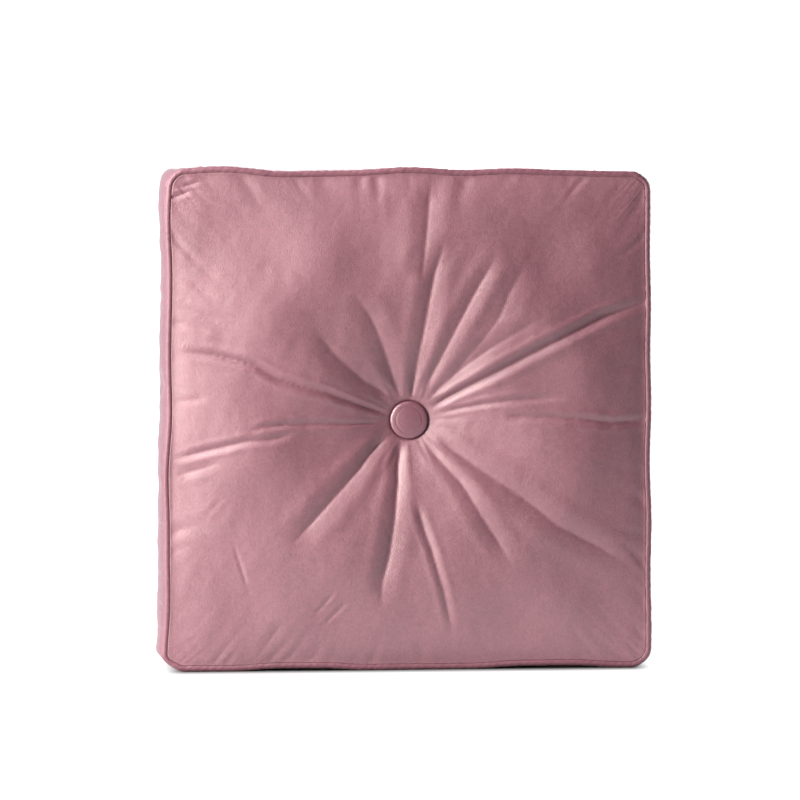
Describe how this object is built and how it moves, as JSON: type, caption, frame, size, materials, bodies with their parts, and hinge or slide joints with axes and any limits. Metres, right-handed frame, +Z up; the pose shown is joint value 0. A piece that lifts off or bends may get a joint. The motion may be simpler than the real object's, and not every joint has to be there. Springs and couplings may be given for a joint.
{
  "type": "floor cushion",
  "caption": "Square box-edge floor cushion in velvet, with piped edges, a covered button tufted through the middle, a fibre filling in a liner, and a zipped side.",
  "frame": {"origin": "middle of the footprint of the cushion as it stands on its lower narrow side", "axes": "+Z up, -Y out of the front face, +X towards the side with the zip"},
  "size_m": [0.4411, 0.1, 0.45],
  "materials": {
    "velvet_face": "short-pile velvet, dusty pink, soft sheen",
    "velvet_trim": "the same velvet cut on the bias",
    "calico": "plain-woven unbleached cotton",
    "fibre": "carded hollow polyester fibre",
    "cotton_cord": "twisted cotton",
    "button_steel": "tinned pressed steel",
    "zip_tape": "woven polyester tape, dyed to match",
    "zip_nylon": "moulded nylon coil, dyed to match",
    "zip_metal": "zinc alloy, enamelled to match"
  },
  "bodies": {
    "cushion_body": {"front_panel": "velvet_face", "back_panel": "velvet_face", "boxing_strip": "velvet_trim", "zip_boxing_front": "velvet_trim", "zip_boxing_back": "velvet_trim", "front_piping_cover": "velvet_trim", "front_piping_cord": "cotton_cord", "back_piping_cover": "velvet_trim", "back_piping_cord": "cotton_cord", "liner_front": "calico", "liner_back": "calico", "fibre_filling": "fibre", "front_button_velvet": "velvet_trim", "front_button_cap": "button_steel", "front_button_back": "button_steel", "front_button_shank": "button_steel", "back_button_velvet": "velvet_trim", "back_button_cap": "button_steel", "back_button_back": "button_steel", "back_button_shank": "button_steel", "tufting_twine": "cotton_cord", "zip_tape_front": "zip_tape", "zip_tape_back": "zip_tape", "zip_coil_front": "zip_nylon", "zip_coil_back": "zip_nylon", "zip_end_stops": "zip_metal", "zip_open_stop": "zip_metal"},
    "slider_body": {"zip_slider": "zip_metal", "zip_bail": "zip_metal"},
    "pull_body": {"zip_pull": "zip_metal"}
  },
  "joints": [
    {"name": "zip_slide", "type": "slide", "parent": "cushion_body", "child": "slider_body", "axis": [0, 0, 1], "range_m": [0, 0.343]},
    {"name": "pull_hinge", "type": "hinge", "parent": "slider_body", "child": "pull_body", "pos_m": [0.2203, 0, 0.0501], "axis": [0, -1, 0], "range_deg": [0, 175]}
  ]
}
